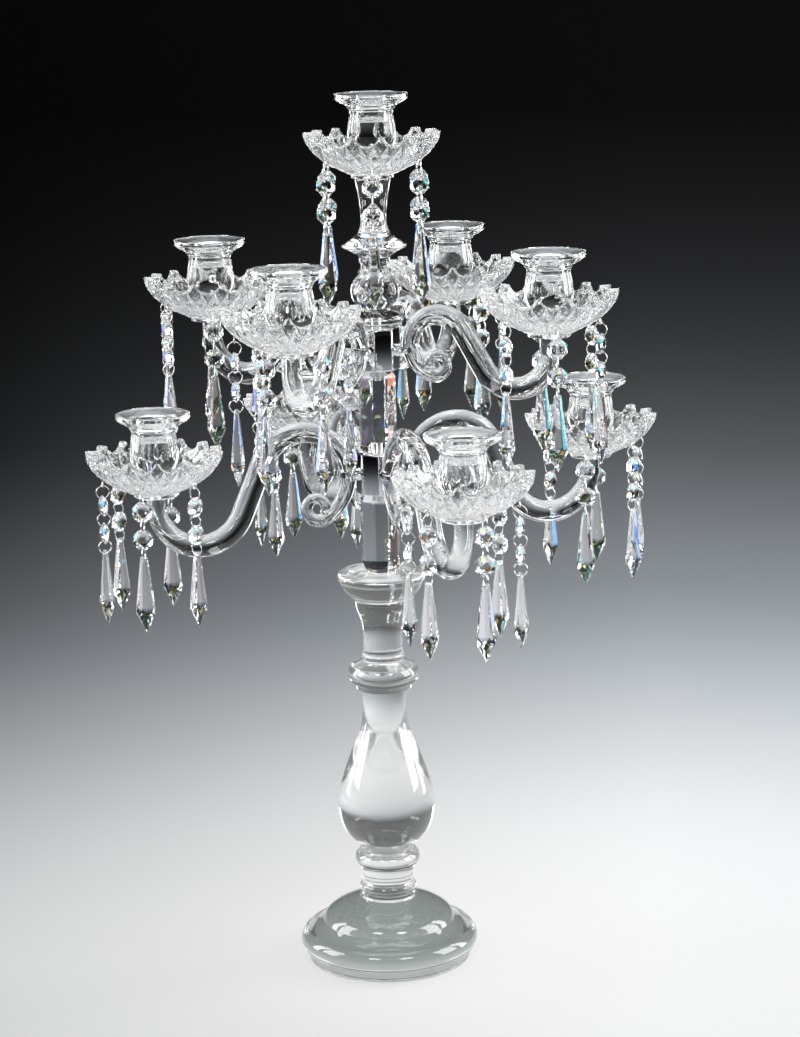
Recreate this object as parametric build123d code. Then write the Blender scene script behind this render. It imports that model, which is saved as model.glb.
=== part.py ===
from build123d import *
import os
from math import acos, atan2, cos, degrees, hypot, radians, sin

# Crystal candelabrum: one top light, four upper arms and four lower arms, each light
# with a scalloped drip bowl hung with chains of beads and drops.
# Millimetres, +Z up, origin on the axis at the underside of the foot, +X along an upper arm.

# ---- driving dimensions -------------------------------------------------------------

top_rim_z = 740.0            # rim of the top candle cup: the overall height
upper_rim_z = 616.3          # cup rims of the upper tier
lower_rim_z = 491.7          # cup rims of the lower tier
upper_reach = 154.1          # axis to the cups of the upper tier
lower_reach = 193.0          # axis to the cups of the lower tier
arms_per_tier = 4
upper_azimuth = 0.0          # first arm of each tier
lower_azimuth = 45.0

# Stack of one light, measured down from the rim of its cup
cup_foot = 59.7
washer_thick = 0.8
bowl_tips = 31.0
bowl_floor = 60.6
bowl_base = 68.4
seat_depth = 69.3            # top of the stem or arm end that carries the light

# Candle cup
candle_hole_r = 11.25        # takes a 22 mm candle
candle_hole_depth = 20.0
cup_rim_r = 30.3
cup_foot_r = 13.0
dish_depth = 3.3             # shallow dish inside the rim, down to the candle hole

# Drip bowl
bowl_r = 56.3
bowl_inner_r = 47.3          # the thick wall ends in broad flat-topped teeth
scallops = 14
scallop_depth = 7.8
scallop_r = 10.97
chain_r = 44.0               # chains hang on this radius of each bowl
chain_holes = 6
chain_hole_r = 0.9
bowl_bore_r = 3.08           # turns on the 3.0 mm stud

# Stud, washers and pins
stud_r = 3.0
stud_socket_r = 3.05
stud_bite = 9.5              # depth that a stud goes into glass
washer_r = 7.4

# Chain of beads
wire_r = 0.45
eye_r = 2.2                  # loop under the bowl, on the wire's centre line
link_r = 5.3
bead_across = 16.0
bead_thick = 7.0
bead_hole = 6.05             # bead centre to each of its two holes
bead_hole_r = 1.2
bead_girdle = 2.6            # thickness of a bead's edge
drop_length = 62.0
drop_width = 15.4
drop_thick = 11.0
drop_widest = 45.5           # below the drop's top
drop_head = (5.6, 3.4)       # width and thickness of the drop's top
drop_neck = (6.6, 4.6)       # and where it starts to swell
drop_neck_depth = 6.5
drop_hole = 2.8              # below the drop's top
drop_hole_r = 0.95
corner_share = 0.42          # flat of an eight-sided drop, as a share of its width
top_chain_twists = (-40.0, 40.0, 0.0, -40.0, 40.0, 0.0)  # how the chains of the top bowl hang turned
eye_below_tips = 26.0        # wire that the first link hangs from, below the bowl's tips
link_play = 1.2              # centre line of a link above the wire it hangs from
hanger_head_r = 1.6
hanger_head_thick = 0.8
hanger_head_drop = 7.2       # underside of the hanger's head below the tips

# Column
hub_r = 19.5                 # corners of the octagonal hub
hub_height = 34.5
lower_hub_z = 409.0
upper_hub_z = 513.5
dish_top_z = 342.0
lower_prism_r = 16.7
upper_prism_r = 16.0
prism_bevel = 6.2            # height of the end bevels
prism_bevel_in = 3.8         # and how far they come in
prism_turn = -11.6           # the cut columns stand turned from the hubs' flats

# Arms: glass rod bent to a scroll beside the hub, a long S and a U under the light
rod_r = 9.3
rod_end_r = 7.5
ferrule_r = 5.5
ferrule_seat = 25.4          # radius from the axis where the ferrule meets the glass
pin_r = 2.9
pin_inner = 9.8
pin_outer = 30.2

hub_flat = hub_r * cos(radians(22.5))


# ---- helpers ------------------------------------------------------------------------

def polar(radius, azimuth, z=0.0):
    """Point at a radius and azimuth about the axis."""
    return Vector(radius * cos(radians(azimuth)), radius * sin(radians(azimuth)), z)


def turned(*edges):
    """Solid turned about Z from an outline drawn in the XZ plane."""
    outline = Wire.combine(list(edges), tol=1e-4)[0]
    return revolve(Face(outline), Axis.Z, 360)


def at(radius, z):
    """Point of a turned outline."""
    return Vector(radius, 0, z)


def line(*points):
    """Straight runs of a turned outline."""
    return Polyline(*[at(r, z) for r, z in points]).edges()


def curve(*points):
    """Smooth run of a turned outline."""
    return [Spline(*[at(r, z) for r, z in points])]


def rod(radius, bottom, top):
    """Upright cylinder on the axis."""
    return Pos(0, 0, bottom) * Cylinder(radius, top - bottom, align=(Align.CENTER, Align.CENTER, Align.MIN))


def radial_rod(radius, inner, outer):
    """Cylinder lying along +X from one radius to another."""
    lying = Rot(0, 90, 0) * Cylinder(radius, outer - inner, align=(Align.CENTER, Align.CENTER, Align.MIN))
    return Pos(inner, 0, 0) * lying


def octagon_prism(corner_r, bottom, top):
    """Octagonal column with its corners half-way between the eight arm directions."""
    face = Pos(0, 0, bottom) * (Rot(0, 0, 22.5) * RegularPolygon(corner_r, 8))
    return extrude(face, top - bottom)


def write(name, shape):
    """Save one sub-part as parts/NAME.step."""
    export_step(shape, os.path.join("parts", name + ".step"))


# ---- foot and lower column ----------------------------------------------------------

def make_foot_pad():
    """Felt disc in the foot's recess; it stands 0.4 mm proud."""
    return rod(58.0, 0.0, 1.2)


def make_foot():
    """Round glass foot: slab, rolled edge, step and dome."""
    dome_top = 57.0
    return turned(
        *line((0, 1.2), (58.4, 1.2), (58.4, 0.4), (68.6, 0.4), (69.6, 1.4), (69.6, 8.6), (72.2, 9.6)),
        ThreePointArc(at(72.2, 9.6), at(76.0, 17.9), at(70.5, 26.9)),
        *curve((70.5, 26.9), (62.5, 29.8), (56.6, 34.6)),
        *curve((56.6, 34.6), (54.2, 39.4), (48.4, 44.5), (40.0, 49.0), (31.6, 52.4), (24.6, 55.0)),
        *line((24.6, 55.0), (23.0, dome_top), (0, dome_top), (0, 1.2)),
    )


def make_neck_spool():
    """Waisted spool between the foot and the pear, with a bead at each end."""
    return turned(
        *line((0, 57.0), (22.6, 57.0), (22.9, 59.8)),
        ThreePointArc(at(22.9, 59.8), at(24.6, 63.4), at(22.9, 67.0)),
        *curve((22.9, 67.0), (21.9, 75.0), (23.2, 82.5)),
        *line((23.2, 82.5), (25.0, 84.0)),
        ThreePointArc(at(25.0, 84.0), at(27.8, 89.8), at(25.0, 95.4)),
        *line((25.0, 95.4), (19.4, 96.0), (0, 96.0), (0, 57.0)),
    )


def make_pear_baluster():
    """Solid pear-shaped baluster."""
    return turned(
        *line((0, 96.0), (18.8, 96.0)),
        *curve((18.8, 96.0), (26.7, 104.5), (37.4, 118.5), (41.4, 138.0), (37.4, 160.0),
               (28.2, 186.0), (20.6, 206.5), (18.4, 222.0), (19.0, 240.0)),
        *line((19.0, 240.0), (0, 240.0), (0, 96.0)),
    )


def make_collar_ring():
    """Thick rounded collar with a small bead above it."""
    return turned(
        *line((0, 240.0), (23.4, 240.0), (24.2, 243.6), (28.0, 246.1)),
        ThreePointArc(at(28.0, 246.1), at(30.0, 253.2), at(27.2, 260.4)),
        *line((27.2, 260.4), (21.6, 263.2), (16.9, 264.6), (16.9, 266.4)),
        ThreePointArc(at(16.9, 266.4), at(18.2, 268.6), at(16.9, 270.8)),
        *line((16.9, 270.8), (0, 270.8), (0, 240.0)),
    )


def make_bell_vase():
    """Bell-mouthed vase that opens up to the dish."""
    return turned(
        *line((0, 270.8), (16.6, 270.8)),
        *curve((16.6, 270.8), (16.5, 282.0), (18.0, 298.2), (22.0, 310.0), (24.8, 319.4), (29.4, 322.6)),
        *line((29.4, 322.6), (0, 322.6), (0, 270.8)),
    )


def make_dish_collar():
    """Broad dish with a thick rounded lip, below the cut columns."""
    return turned(
        *line((0, 322.6), (29.6, 322.6)),
        *curve((29.6, 322.6), (32.6, 326.8), (35.0, 333.0)),
        ThreePointArc(at(35.0, 333.0), at(37.4, 337.6), at(34.2, dish_top_z - 0.4)),
        *line((34.2, dish_top_z - 0.4), (31.0, dish_top_z), (0, dish_top_z), (0, 322.6)),
    )


# ---- cut columns and hubs -----------------------------------------------------------

def make_prism(corner_r, bottom, top, socket_ends):
    """Octagonal cut column, bevelled at both ends, with a stud socket in the ends named."""
    middle = octagon_prism(corner_r, bottom + prism_bevel, top - prism_bevel)
    turned_face = Rot(0, 0, 22.5) * RegularPolygon(corner_r, 8)
    end_face = Rot(0, 0, 22.5) * RegularPolygon(corner_r - prism_bevel_in, 8)
    low_turn, high_turn = bottom + prism_bevel, top - prism_bevel
    low_bevel = loft([Pos(0, 0, bottom) * end_face, Pos(0, 0, low_turn) * turned_face], ruled=True)
    top_bevel = loft([Pos(0, 0, high_turn) * turned_face, Pos(0, 0, top) * end_face], ruled=True)
    column = Rot(0, 0, prism_turn) * (middle + low_bevel + top_bevel)
    if "bottom" in socket_ends:
        column -= rod(stud_socket_r, bottom, bottom + stud_bite)
    if "top" in socket_ends:
        column -= rod(stud_socket_r, top - stud_bite, top)
    return column


def make_hub(bottom, first_azimuth):
    """Chromed octagonal hub, bored for the column stud and socketed for four arm pins."""
    hub = octagon_prism(hub_r, bottom, bottom + hub_height)
    hub -= rod(stud_socket_r, bottom, bottom + hub_height)
    middle = bottom + hub_height / 2
    for k in range(arms_per_tier):
        socket = Pos(0, 0, middle) * radial_rod(pin_r + 0.05, pin_inner - 0.3, hub_r)
        hub -= Rot(0, 0, first_azimuth + 90 * k) * socket
    return hub


def make_column_studs():
    """Two threaded studs that draw the cut columns onto the hubs."""
    reach = stud_bite - 0.5
    lower = rod(stud_r, lower_hub_z - reach, lower_hub_z + hub_height + reach)
    upper = rod(stud_r, upper_hub_z - reach, upper_hub_z + hub_height + reach)
    return Compound(children=[lower, upper])


# ---- upper column -------------------------------------------------------------------

cap_z = upper_hub_z + hub_height
cap_top_z = 562.4
ball_top_z = 597.4


def make_hub_cap():
    """Flanged glass cap on the upper hub."""
    cap = turned(
        *line((0, cap_z), (17.6, cap_z), (18.8, 551.0), (22.0, 553.4)),
        ThreePointArc(at(22.0, 553.4), at(23.0, 556.6), at(21.8, 559.8)),
        *line((21.8, 559.8), (14.4, 561.2), (12.6, cap_top_z), (0, cap_top_z), (0, cap_z)),
    )
    return cap - rod(stud_socket_r, cap_z, cap_z + stud_bite)


def make_ball_stem():
    """Glass ball between two narrow necks."""
    return turned(
        *line((0, cap_top_z), (12.4, cap_top_z), (12.2, 565.4)),
        *curve((12.2, 565.4), (18.0, 570.6), (20.4, 578.7), (18.2, 586.8), (12.9, 592.6)),
        *line((12.9, 592.6), (14.2, 594.4), (14.0, 596.2), (11.6, ball_top_z)),
        *line((11.6, ball_top_z), (0, ball_top_z), (0, cap_top_z)),
    )


def make_top_stem():
    """Trumpet stem of the top light with a mushroom collar."""
    seat = top_rim_z - seat_depth
    stem = turned(
        *line((0, ball_top_z), (11.6, ball_top_z), (11.1, 600.4)),
        *line((11.1, 600.4), (12.6, 602.4), (12.6, 604.6), (13.2, 607.4)),
        *curve((13.2, 607.4), (19.4, 611.4), (26.0, 614.6)),
        ThreePointArc(at(26.0, 614.6), at(26.8, 616.0), at(26.2, 617.2)),
        *curve((26.2, 617.2), (18.4, 621.8), (13.0, 627.6), (10.6, 637.6), (11.6, 652.0), (15.0, seat)),
        *line((15.0, seat), (0, seat), (0, ball_top_z)),
    )
    return stem - rod(stud_socket_r, seat - stud_bite - 0.5, seat)


# ---- arms ---------------------------------------------------------------------------

upper_arm = {
    "reach": upper_reach, "seat": upper_rim_z - seat_depth, "hub_z": upper_hub_z + hub_height / 2,
    "arch": (56.6, 535.6), "arch_r": 25.5, "u_r": 31.0, "u_bottom": 503.5,
    "scroll": ((25.5, 258), (9.5, 345), (7.5, 560)),
}
lower_arm = {
    "reach": lower_reach, "seat": lower_rim_z - seat_depth, "hub_z": lower_hub_z + hub_height / 2,
    "arch": (66.6, 426.3), "arch_r": 39.0, "u_r": 38.0, "u_bottom": 378.0,
    "scroll": ((39.0, 195), (43.0, 237), (11.5, 345), (8.5, 560)),
}
# Rod radius along the arm: share of the length from the curl's end, and the radius there
rod_taper = ((0.0, 4.2), (0.1, 5.2), (0.2, 6.2), (0.38, 8.0), (0.5, rod_r), (0.85, rod_r), (1.0, rod_end_r))


def arm_point(centre, radius, angle):
    """Point on a circle in the arm's radial plane."""
    return at(centre[0] + radius * cos(radians(angle)), centre[1] + radius * sin(radians(angle)))


def arm_arc(centre, radius, start, end):
    """Arc in the arm's radial plane between two angles."""
    middle = (start + end) / 2
    return ThreePointArc(
        arm_point(centre, radius, start), arm_point(centre, radius, middle), arm_point(centre, radius, end)
    )


def arm_edges(arm):
    """Centre line from the curl's end through the arch, the S and the U to the light."""
    u_centre = (arm["reach"] - arm["u_r"], arm["u_bottom"] + arm["u_r"])
    across = u_centre[0] - arm["arch"][0]
    drop = u_centre[1] - arm["arch"][1]
    lean = degrees(acos((arm["arch_r"] + arm["u_r"]) / hypot(across, drop)))
    leave = degrees(atan2(drop, across)) + lean
    scroll = []
    centre, radius, start = arm["arch"], arm["arch_r"], leave
    for next_r, end in arm["scroll"]:
        shift = radius - next_r
        if scroll:
            centre = (centre[0] + shift * cos(radians(start)), centre[1] + shift * sin(radians(start)))
        scroll.append(arm_arc(centre, next_r, end, start))
        radius, start = next_r, end
    scroll.reverse()
    slope = Line(arm_point(arm["arch"], arm["arch_r"], leave), arm_point(u_centre, arm["u_r"], leave + 180))
    bend = arm_arc(u_centre, arm["u_r"], leave + 180, 360)
    rise = Line(arm_point(u_centre, arm["u_r"], 360), at(arm["reach"], arm["seat"]))
    return scroll + [slope, bend, rise]


def rod_radius(share):
    """Rod radius at a share of the arm's length."""
    for (s0, r0), (s1, r1) in zip(rod_taper, rod_taper[1:]):
        if share <= s1:
            return r0 + (r1 - r0) * (share - s0) / (s1 - s0)
    return rod_taper[-1][1]


def make_arm(arm):
    """Tapered glass arm along +X, with its stud socket and the seat of its ferrule."""
    edges = arm_edges(arm)
    length = sum(edge.length for edge in edges)
    glass, travelled = None, 0.0
    for edge in edges:
        pieces = max(1, round(edge.length / 30))
        for k in range(pieces):
            run = edge.trim(k / pieces, (k + 1) / pieces)
            ends = []
            for share in (0.0, 1.0):
                radius = rod_radius((travelled + share * run.length) / length)
                ends.append(Plane(origin=run @ share, z_dir=run % share) * Circle(radius))
            travelled += run.length
            span = sweep(sections=ends, path=run, multisection=True)
            glass = span if glass is None else glass + span
    glass -= Pos(0, 0, arm["hub_z"]) * radial_rod(ferrule_r + 0.05, 0, ferrule_seat)
    glass -= Pos(0, 0, arm["hub_z"]) * radial_rod(pin_r + 0.05, ferrule_seat, pin_outer + 0.3)
    glass -= Pos(arm["reach"], 0, 0) * rod(stud_socket_r, arm["seat"] - stud_bite - 0.5, arm["seat"])
    return glass


def make_arm_pin(arm):
    """Chromed ferrule and pin between the hub's flat and the scroll."""
    pin = radial_rod(ferrule_r, hub_flat, ferrule_seat) + radial_rod(pin_r, pin_inner, pin_outer)
    return Pos(0, 0, arm["hub_z"]) * pin


# ---- one light: candle cup, drip bowl, stud and washers, all about the axis ----------

def make_cup(rim_z):
    """Solid glass candle cup with a flared rim, a dished top and a blind candle hole."""
    hole_z = rim_z - dish_depth
    cup = turned(
        *line((0, rim_z - cup_foot), (cup_foot_r, rim_z - cup_foot), (cup_foot_r, rim_z - 58.6)),
        *curve((cup_foot_r, rim_z - 58.6), (12.2, rim_z - 54.6), (15.0, rim_z - 46.6), (19.3, rim_z - 38.4),
               (19.9, rim_z - 32.0), (18.4, rim_z - 20.4), (17.7, rim_z - 16.0)),
        *line((17.7, rim_z - 16.0), (18.0, rim_z - 13.6), (20.0, rim_z - 11.8), (20.4, rim_z - 10.0),
              (23.0, rim_z - 8.6)),
        *curve((23.0, rim_z - 8.6), (26.6, rim_z - 6.8), (29.4, rim_z - 4.8)),
        *line((29.4, rim_z - 4.8), (cup_rim_r, rim_z - 3.6), (cup_rim_r, rim_z - 0.8)),
        *line((cup_rim_r, rim_z - 0.8), (cup_rim_r - 0.5, rim_z), (28.4, rim_z)),
        *curve((28.4, rim_z), (20.0, hole_z + 0.7), (14.4, hole_z)),
        *line((14.4, hole_z), (0, hole_z), (0, rim_z - cup_foot)),
    )
    cup -= rod(candle_hole_r, hole_z - candle_hole_depth, hole_z)
    return cup - rod(stud_socket_r, rim_z - cup_foot, rim_z - cup_foot + stud_bite)


def make_bowl(rim_z):
    """Cut-glass drip bowl: scalloped rim, centre bore and six small chain holes."""
    tips = rim_z - bowl_tips
    floor_z = rim_z - bowl_floor
    base_z = rim_z - bowl_base
    bowl = turned(
        *line((0, base_z), (17.4, base_z), (17.4, base_z + 2.0)),
        *curve((17.4, base_z + 2.0), (31.8, tips - 28.8), (41.8, tips - 22.6), (51.2, tips - 12.8),
               (55.4, tips - 5.0), (bowl_r, tips)),
        *line((bowl_r, tips), (bowl_inner_r, tips)),
        *curve((bowl_inner_r, tips), (46.6, tips - 5.0), (43.6, tips - 11.8), (37.0, tips - 19.4),
               (28.0, tips - 25.3), (16.0, floor_z)),
        *line((16.0, floor_z), (0, floor_z), (0, base_z)),
    )
    notch_z = tips - scallop_depth + scallop_r
    pitch = 360 / scallops
    for k in range(scallops):
        notch = Pos(0, 0, notch_z) * radial_rod(scallop_r, 36, bowl_r + 4)
        bowl -= Rot(0, 0, (k + 0.5) * pitch) * notch
    for k in range(chain_holes):
        bowl -= Pos(*polar(chain_r, 60 * k)) * rod(chain_hole_r, base_z, tips)
    return bowl - rod(bowl_bore_r, base_z, floor_z)


def make_stud(rim_z):
    """Stud that joins arm end, bowl and cup."""
    return rod(stud_r, rim_z - seat_depth - stud_bite, rim_z - cup_foot + stud_bite - 0.5)


def make_washers(rim_z):
    """Clear washers under and over the bowl; the bowl turns between them."""
    washers = []
    for bottom in (rim_z - seat_depth, rim_z - cup_foot - washer_thick):
        top = bottom + washer_thick
        washers.append(rod(washer_r, bottom, top) - rod(stud_r + 0.04, bottom, top))
    return washers


# ---- chains -------------------------------------------------------------------------

def make_hanger(tips):
    """Headed wire through the bowl with a loop below, for a chain along +X."""
    wire_z = tips - eye_below_tips
    loop_z = wire_z + eye_r
    loop = Pos(chain_r, 0, loop_z) * (Rot(0, 90, 0) * Torus(eye_r, wire_r))
    head_z = tips - hanger_head_drop
    shank = Pos(chain_r, 0, 0) * rod(wire_r, loop_z + eye_r - wire_r / 2, head_z + wire_r)
    head = Pos(chain_r, 0, 0) * rod(hanger_head_r, head_z, head_z + hanger_head_thick)
    return loop + shank + head


def make_link(z):
    """Wire ring that stands in the radial plane."""
    return Pos(chain_r, 0, z) * (Rot(90, 0, 0) * Torus(link_r, wire_r))


def make_bead(z):
    """Octagonal cut bead, holed at the top and the bottom."""
    corner = bead_across / 2 / cos(radians(22.5))
    girdle = Rot(0, 0, 22.5) * RegularPolygon(corner, 8)
    table = Rot(0, 0, 22.5) * RegularPolygon(corner / 2, 8)
    girdle_half = bead_girdle / 2
    bead = extrude(girdle, girdle_half, both=True)
    bead += loft([Pos(0, 0, girdle_half) * girdle, Pos(0, 0, bead_thick / 2) * table], ruled=True)
    bead += loft([Pos(0, 0, -girdle_half) * girdle, Pos(0, 0, -bead_thick / 2) * table], ruled=True)
    for end in (-bead_hole, bead_hole):
        bead -= Pos(0, end, 0) * Cylinder(bead_hole_r, bead_thick + 2)
    return Plane(origin=(chain_r, 0, z), x_dir=(0, 1, 0), z_dir=(1, 0, 0)) * bead


def make_drop(top):
    """Long spear drop: narrow at the top, widest low down, with a pointed tip."""
    def section(depth, width, thick):
        half_w, half_t = width / 2, thick / 2
        flat_w, flat_t = half_w * corner_share, half_t * corner_share
        corners = [
            (half_t, -flat_w), (half_t, flat_w), (flat_t, half_w), (-flat_t, half_w),
            (-half_t, flat_w), (-half_t, -flat_w), (-flat_t, -half_w), (flat_t, -half_w),
        ]
        return Pos(chain_r, 0, top - depth) * make_face(Polyline(*corners, close=True))
    head = section(0, *drop_head)
    neck = section(drop_neck_depth, *drop_neck)
    belly = section(drop_widest, drop_width, drop_thick)
    tip = section(drop_length, 0.8, 0.6)
    drop = loft([head, neck], ruled=True) + loft([neck, belly], ruled=True) + loft([belly, tip], ruled=True)
    return drop - Pos(chain_r, 0, top - drop_hole) * (Rot(0, 90, 0) * Cylinder(drop_hole_r, 12))


def twisted(angle):
    """Turn of a hanging chain about its own upright line."""
    return Pos(chain_r, 0, 0) * Rot(0, 0, angle) * Pos(-chain_r, 0, 0)


def make_chain(tips):
    """Three links, two beads and a drop, hung from the wire loop along +X."""
    link_z = tips - eye_below_tips + link_play - link_r
    pieces = []
    for _ in range(2):
        bead_z = link_z - link_r - bead_hole
        pieces += [make_link(link_z), make_bead(bead_z)]
        link_z = bead_z - bead_hole - link_r
    pieces += [make_link(link_z), make_drop(link_z - link_r + drop_hole)]
    return pieces


# ---- the lights in their places -------------------------------------------------------

def light_places():
    """Name, bowl name, rim height, reach, azimuth and chain angles of every light."""
    outward = (0, 60, 120, -60, -120)
    places = [("top", top_rim_z, 0.0, 0.0, tuple(range(-5, 355, 60)))]
    for k in range(arms_per_tier):
        places.append((f"upper_{k + 1}", upper_rim_z, upper_reach, upper_azimuth + 90 * k, outward))
    for k in range(arms_per_tier):
        places.append((f"lower_{k + 1}", lower_rim_z, lower_reach, lower_azimuth + 90 * k, outward))
    return places


def place(shape, reach, azimuth):
    """Shape built on the axis moved out to its arm."""
    return Rot(0, 0, azimuth) * (Pos(reach, 0, 0) * shape)


def write_column():
    """All turned and cut pieces on the axis."""
    write("foot_pad", make_foot_pad())
    write("foot", make_foot())
    write("neck_spool", make_neck_spool())
    write("pear_baluster", make_pear_baluster())
    write("collar_ring", make_collar_ring())
    write("bell_vase", make_bell_vase())
    write("dish_collar", make_dish_collar())
    write("lower_prism", make_prism(lower_prism_r, dish_top_z, lower_hub_z, ["top"]))
    write("lower_hub", make_hub(lower_hub_z, lower_azimuth))
    lower_hub_top = lower_hub_z + hub_height
    write("upper_prism", make_prism(upper_prism_r, lower_hub_top, upper_hub_z, ["bottom", "top"]))
    write("upper_hub", make_hub(upper_hub_z, upper_azimuth))
    write("column_studs", make_column_studs())
    write("hub_cap", make_hub_cap())
    write("ball_stem", make_ball_stem())
    write("top_stem", make_top_stem())


def write_arms():
    """Eight scroll arms and their chromed pins."""
    pins = []
    for tier, arm, first in (("upper", upper_arm, upper_azimuth), ("lower", lower_arm, lower_azimuth)):
        glass = make_arm(arm)
        for k in range(arms_per_tier):
            turn = Rot(0, 0, first + 90 * k)
            write(f"{tier}_arm_{k + 1}", turn * glass)
            pins.append(turn * make_arm_pin(arm))
    write("arm_pins", Compound(children=pins))


def write_lights():
    """Cups, bowls, studs, washers and chains of the nine lights."""
    cup, bowl = make_cup(0.0), make_bowl(0.0)
    hanger, chain = make_hanger(-bowl_tips), make_chain(-bowl_tips)
    studs, washers = [], []
    for name, rim_z, reach, azimuth, chain_angles in light_places():
        lift = Pos(0, 0, rim_z)
        bowl_turn = Rot(0, 0, chain_angles[0])
        write(f"candle_cup_{name}", place(lift * cup, reach, azimuth))
        write(f"drip_bowl_{name}", place(lift * bowl_turn * bowl, reach, azimuth))
        studs.append(place(lift * make_stud(0.0), reach, azimuth))
        washers += [place(lift * washer, reach, azimuth) for washer in make_washers(0.0)]
        hangers = [place(lift * Rot(0, 0, angle) * hanger, reach, azimuth) for angle in chain_angles]
        chains = []
        for k, angle in enumerate(chain_angles):
            twist = twisted(top_chain_twists[k] if name == "top" else 0.0)
            chains.append([place(lift * Rot(0, 0, angle) * twist * piece, reach, azimuth) for piece in chain])
        if name == "top":
            write("hanger_pins_top", Compound(children=hangers))
            for k, pieces in enumerate(chains):
                write(f"pendant_top_{k + 1}", Compound(children=pieces))
        else:
            pieces = hangers + [piece for pieces in chains for piece in pieces]
            write(f"pendants_{name}", Compound(children=pieces))
    write("cup_studs", Compound(children=studs))
    write("bowl_washers", Compound(children=washers))


os.makedirs("parts", exist_ok=True)
write_column()
write_arms()
write_lights()
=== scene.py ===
import math

import bmesh
import bpy
import numpy as np
from mathutils import Matrix, Vector


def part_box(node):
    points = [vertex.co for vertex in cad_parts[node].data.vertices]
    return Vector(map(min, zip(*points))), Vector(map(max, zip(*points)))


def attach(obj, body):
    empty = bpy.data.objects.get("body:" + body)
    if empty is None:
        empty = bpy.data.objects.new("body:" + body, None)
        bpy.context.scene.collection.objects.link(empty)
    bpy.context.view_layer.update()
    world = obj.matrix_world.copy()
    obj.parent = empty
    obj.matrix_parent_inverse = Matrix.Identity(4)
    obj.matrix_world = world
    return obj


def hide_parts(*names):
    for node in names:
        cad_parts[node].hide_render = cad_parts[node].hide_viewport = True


MM = 0.001
VIEW_AZIMUTH = 25.5          # degrees about Z between the camera's heading and +Y
SEGMENTS = 144               # round a turned glass piece


# ---- camera -------------------------------------------------------------------------

def add_camera():
    """Camera at the photograph's viewing angle, aimed a little down at the middle of the piece."""
    pitch, yaw, roll = (math.radians(a) for a in (12.375, 0.411, -1.198))
    ahead = Vector((math.sin(yaw) * math.cos(pitch), math.cos(yaw) * math.cos(pitch), -math.sin(pitch)))
    right = Vector((math.cos(yaw), -math.sin(yaw), 0))
    up = right.cross(ahead)
    cam_right = right * math.cos(roll) + up * math.sin(roll)
    cam_up = up * math.cos(roll) - right * math.sin(roll)
    turn = Matrix.Rotation(math.radians(VIEW_AZIMUTH), 4, "Z")
    data = bpy.data.cameras.new("camera")
    data.sensor_width = 36
    data.lens = 98.06
    data.clip_end = 100
    camera = bpy.data.objects.new("camera", data)
    bpy.context.scene.collection.objects.link(camera)
    axes = Matrix((cam_right, cam_up, -ahead)).transposed().to_4x4()
    place = Matrix.Translation(Vector((0, -2.3135, 0.8936)))
    camera.matrix_world = turn @ place @ axes
    bpy.context.scene.camera = camera


add_camera()
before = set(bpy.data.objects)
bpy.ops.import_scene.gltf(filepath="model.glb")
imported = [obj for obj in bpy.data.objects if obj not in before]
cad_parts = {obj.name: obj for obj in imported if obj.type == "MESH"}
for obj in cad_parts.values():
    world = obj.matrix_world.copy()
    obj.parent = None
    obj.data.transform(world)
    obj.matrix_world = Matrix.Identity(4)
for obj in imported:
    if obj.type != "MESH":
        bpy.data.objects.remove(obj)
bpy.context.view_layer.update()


# ---- node helpers -------------------------------------------------------------------

class Tree:
    """Short way to build one material's nodes."""

    def __init__(self, name):
        self.mat = bpy.data.materials.new(name)
        self.mat.use_nodes = True
        self.nodes = self.mat.node_tree.nodes
        self.links = self.mat.node_tree.links
        self.shader = self.nodes["Principled BSDF"]
        self.coords = self.nodes.new("ShaderNodeTexCoord").outputs["Object"]

    def add(self, kind, **inputs):
        node = self.nodes.new(kind)
        for key, value in inputs.items():
            self.put(node.inputs[key.replace("_", " ")], value)
        return node

    def put(self, socket, value):
        if isinstance(value, bpy.types.NodeSocket):
            self.links.new(value, socket)
        else:
            socket.default_value = value

    def noise(self, scale, detail=3.0, roughness=0.5, stretch=None):
        where = self.coords
        if stretch:
            mapping = self.add("ShaderNodeMapping", Vector=where, Scale=stretch)
            where = mapping.outputs["Vector"]
        node = self.add("ShaderNodeTexNoise", Vector=where, Scale=scale, Detail=detail, Roughness=roughness)
        return node.outputs["Fac"]

    def ramp(self, value, low, high, to_low, to_high):
        node = self.add("ShaderNodeMapRange")
        for socket, number in zip(node.inputs, (value, low, high, to_low, to_high)):
            self.put(socket, number)
        return node.outputs["Result"]

    def mix(self, factor, one, two):
        node = self.nodes.new("ShaderNodeMix")
        node.data_type = "RGBA"
        self.put(node.inputs[0], factor)
        self.put(node.inputs[6], one)
        self.put(node.inputs[7], two)
        return node.outputs[2]

    def math(self, operation, one, two):
        node = self.nodes.new("ShaderNodeMath")
        node.operation = operation
        self.put(node.inputs[0], one)
        self.put(node.inputs[1], two)
        return node.outputs[0]

    def bump(self, height, strength, distance):
        node = self.add("ShaderNodeBump", Height=height, Strength=strength, Distance=distance)
        return node.outputs["Normal"]

    def set(self, **inputs):
        for key, value in inputs.items():
            self.put(self.shader.inputs[key.replace("_", " ")], value)
        return self.mat


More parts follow.
